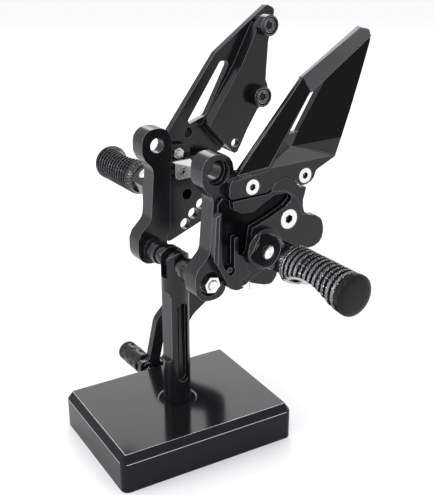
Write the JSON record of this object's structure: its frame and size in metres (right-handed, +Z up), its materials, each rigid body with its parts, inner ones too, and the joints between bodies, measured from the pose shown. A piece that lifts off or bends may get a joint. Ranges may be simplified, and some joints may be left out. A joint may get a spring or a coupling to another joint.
{
  "type": "rear-set foot pegs",
  "caption": "Folding rear-set foot pegs with brackets, adjuster plates, heel guards and a shift lever, clamped back to back on a round post over a heavy chamfered base block.",
  "frame": {"origin": "centre of the display stand's underside, on the axis of the post", "axes": "+Z up; +X to the rear of the motorcycle; -Y is the side of the near set, +Y the side of the far set with the shift lever"},
  "size_m": [0.2385, 0.3325, 0.3586],
  "materials": {
    "black_anodised": "satin black anodised",
    "black_base": "gloss black paint",
    "stainless": "bright",
    "black_steel": "black oxide",
    "black_plastic": "matte"
  },
  "bodies": {
    "stand_and_sets": {"cross_rod": "stainless", "far_bracket": "black_anodised", "far_carrier": "black_anodised", "far_carrier_bolt": "stainless", "far_clamp_block": "stainless", "far_clamp_screw": "black_steel", "far_guard_nut": "stainless", "far_guard_screw": "stainless", "far_heel_guard": "black_anodised", "far_peg_bolt": "black_steel", "far_peg_mount": "black_anodised", "far_peg_pin": "stainless", "far_pin_clip": "black_steel", "far_rod_nut": "stainless", "far_rod_washer": "black_steel", "far_spacer": "black_steel", "far_standoff_1": "black_anodised", "far_standoff_2": "black_anodised", "far_standoff_bolt_1": "black_steel", "far_standoff_bolt_2": "black_steel", "fork_spacer": "black_steel", "lever_bush": "stainless", "lever_pivot_bolt": "black_steel", "near_bracket": "black_anodised", "near_carrier": "black_anodised", "near_carrier_bolt": "stainless", "near_carrier_screw": "black_anodised", "near_guard_nut_1": "stainless", "near_guard_nut_2": "stainless", "near_guard_screw_1": "stainless", "near_guard_screw_2": "stainless", "near_heel_guard": "black_anodised", "near_peg_bolt": "black_steel", "near_peg_mount": "black_anodised", "near_peg_pin": "stainless", "near_pin_clip": "black_steel", "near_rod_nut": "stainless", "near_rod_washer": "black_steel", "near_spacer": "black_steel", "near_stop_bolt": "black_steel", "near_stop_plate": "black_anodised", "near_stop_screw": "stainless", "post_stud": "black_steel", "stand_base": "black_base", "stand_post": "black_anodised"},
    "near_peg": {"near_peg_grip": "black_anodised", "near_end_plug": "black_plastic", "near_peg_spring": "stainless"},
    "far_peg": {"far_peg_grip": "black_anodised", "far_end_plug": "black_plastic", "far_peg_spring": "stainless"},
    "shift_lever": {"shift_lever": "black_anodised", "toe_peg": "black_anodised", "toe_peg_bolt": "black_steel"}
  },
  "joints": [
    {"name": "near_peg_fold", "type": "hinge", "parent": "stand_and_sets", "child": "near_peg", "pos_m": [0.0434, -0.0853, 0.1892], "axis": [-0.866, 0, 0.5], "range_deg": [0, 75], "stiffness_Nm_per_rad": 0.4, "springref_deg": -28.65},
    {"name": "far_peg_fold", "type": "hinge", "parent": "stand_and_sets", "child": "far_peg", "pos_m": [0.0241, 0.077, 0.2078], "axis": [-0.5299, 0, 0.848], "range_deg": [0, 75], "stiffness_Nm_per_rad": 0.4, "springref_deg": -28.65},
    {"name": "shift_lever_swing", "type": "hinge", "parent": "stand_and_sets", "child": "shift_lever", "pos_m": [0.088, 0.068, 0.176], "axis": [0, 1, 0], "range_deg": [-6, 6], "stiffness_Nm_per_rad": 15}
  ]
}
